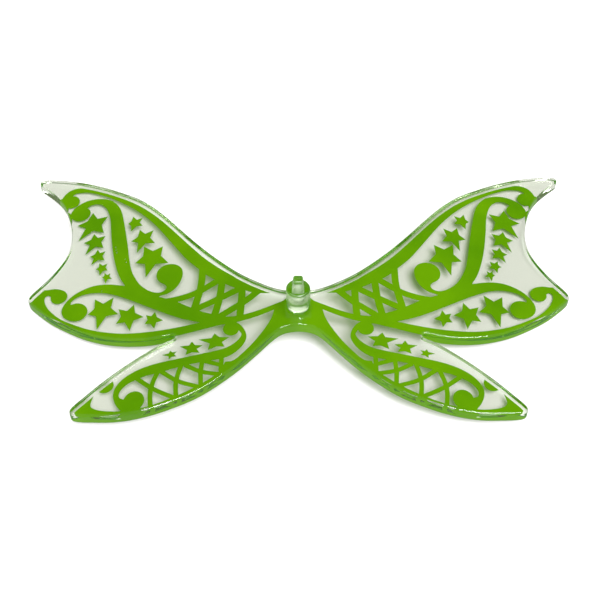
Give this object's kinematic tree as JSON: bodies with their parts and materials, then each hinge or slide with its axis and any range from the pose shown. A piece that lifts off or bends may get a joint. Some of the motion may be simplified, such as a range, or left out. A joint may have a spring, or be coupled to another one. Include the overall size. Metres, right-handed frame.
{
  "type": "doll fairy wings",
  "caption": "Plug-in fairy wings for a doll: a clear folded wing plate with a keyed peg, and green scrollwork, bars and stars printed on the face away from the peg.",
  "frame": {"origin": "under the middle of the object's box, on the surface that the wing tips stand on with the peg up", "axes": "+X along the span from wing tip to wing tip, +Y towards the upper wing tips, +Z along the peg away from the wings"},
  "size_m": [0.1494, 0.0844, 0.0213],
  "materials": {
    "clear_plastic": "clear, polished mould finish",
    "green_ink": "semi-gloss printed ink"
  },
  "bodies": {
    "root": {"wing_moulding": "clear_plastic", "ink_scrollwork": "green_ink", "ink_star_outer_1_left": "green_ink", "ink_star_outer_1_right": "green_ink", "ink_star_outer_2_left": "green_ink", "ink_star_outer_2_right": "green_ink", "ink_star_outer_3_left": "green_ink", "ink_star_outer_3_right": "green_ink", "ink_star_outer_4_left": "green_ink", "ink_star_outer_4_right": "green_ink", "ink_star_outer_5_left": "green_ink", "ink_star_outer_5_right": "green_ink", "ink_star_middle_1_left": "green_ink", "ink_star_middle_1_right": "green_ink", "ink_star_middle_2_left": "green_ink", "ink_star_middle_2_right": "green_ink", "ink_star_middle_3_left": "green_ink", "ink_star_middle_3_right": "green_ink", "ink_star_lower_1_left": "green_ink", "ink_star_lower_1_right": "green_ink", "ink_star_lower_2_left": "green_ink", "ink_star_lower_2_right": "green_ink", "ink_star_lower_3_left": "green_ink", "ink_star_lower_3_right": "green_ink", "ink_star_hind_1_left": "green_ink", "ink_star_hind_1_right": "green_ink", "ink_star_hind_2_left": "green_ink", "ink_star_hind_2_right": "green_ink", "ink_star_hind_3_left": "green_ink", "ink_star_hind_3_right": "green_ink", "ink_edge_dot_left": "green_ink", "ink_edge_dot_right": "green_ink"}
  },
  "joints": []
}
